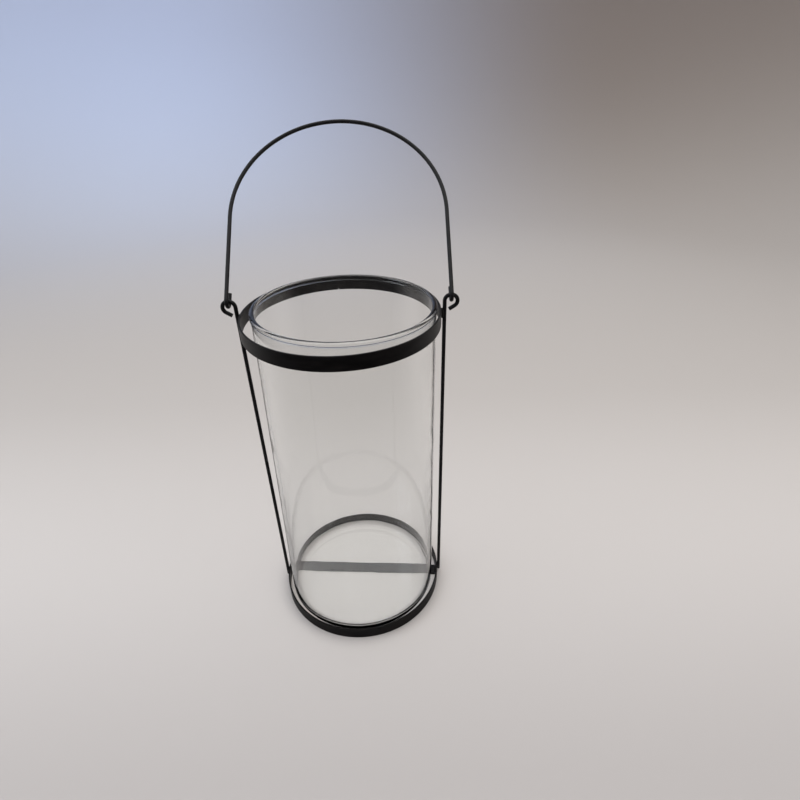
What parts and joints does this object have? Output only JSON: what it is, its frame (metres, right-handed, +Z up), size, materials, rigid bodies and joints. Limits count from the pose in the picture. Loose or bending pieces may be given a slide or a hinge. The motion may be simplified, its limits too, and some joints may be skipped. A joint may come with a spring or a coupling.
{
  "type": "hurricane candle lantern",
  "caption": "Open hurricane lantern: a clear glass cylinder standing loose in a black frame of flat rings, wire uprights and a base strap, with a swinging wire bail.",
  "frame": {"origin": "middle of the base, on the surface that the lantern stands on", "axes": "+Z up, X through the two uprights and eyes, -Y the front that the bail leans away from"},
  "size_m": [0.1892, 0.1938, 0.4337],
  "materials": {
    "black_frame": "satin black paint on mild steel strip",
    "black_wire": "satin black paint on round steel wire",
    "painted_weld": "weld beads under the same satin black paint, a little rougher",
    "clear_glass": "clear pressed glass, fire-polished rim"
  },
  "bodies": {
    "frame": {"top_ring": "black_frame", "bottom_ring": "black_frame", "base_strap": "black_frame", "left_upright": "black_wire", "right_upright": "black_wire", "top_ring_welds": "painted_weld", "bottom_ring_welds": "painted_weld", "strap_welds": "painted_weld", "seam_welds": "painted_weld"},
    "bail": {"bail_handle": "black_wire"},
    "glass": {"glass_cylinder": "clear_glass"}
  },
  "joints": [
    {"name": "bail_swing", "type": "hinge", "parent": "frame", "child": "bail", "pos_m": [0, 0, 0.3181], "axis": [1, 0, 0], "range_deg": [-88, 180]},
    {"name": "glass_lift", "type": "slide", "parent": "frame", "child": "glass", "axis": [0, 0, 1], "range_m": [0, 0.31]}
  ]
}
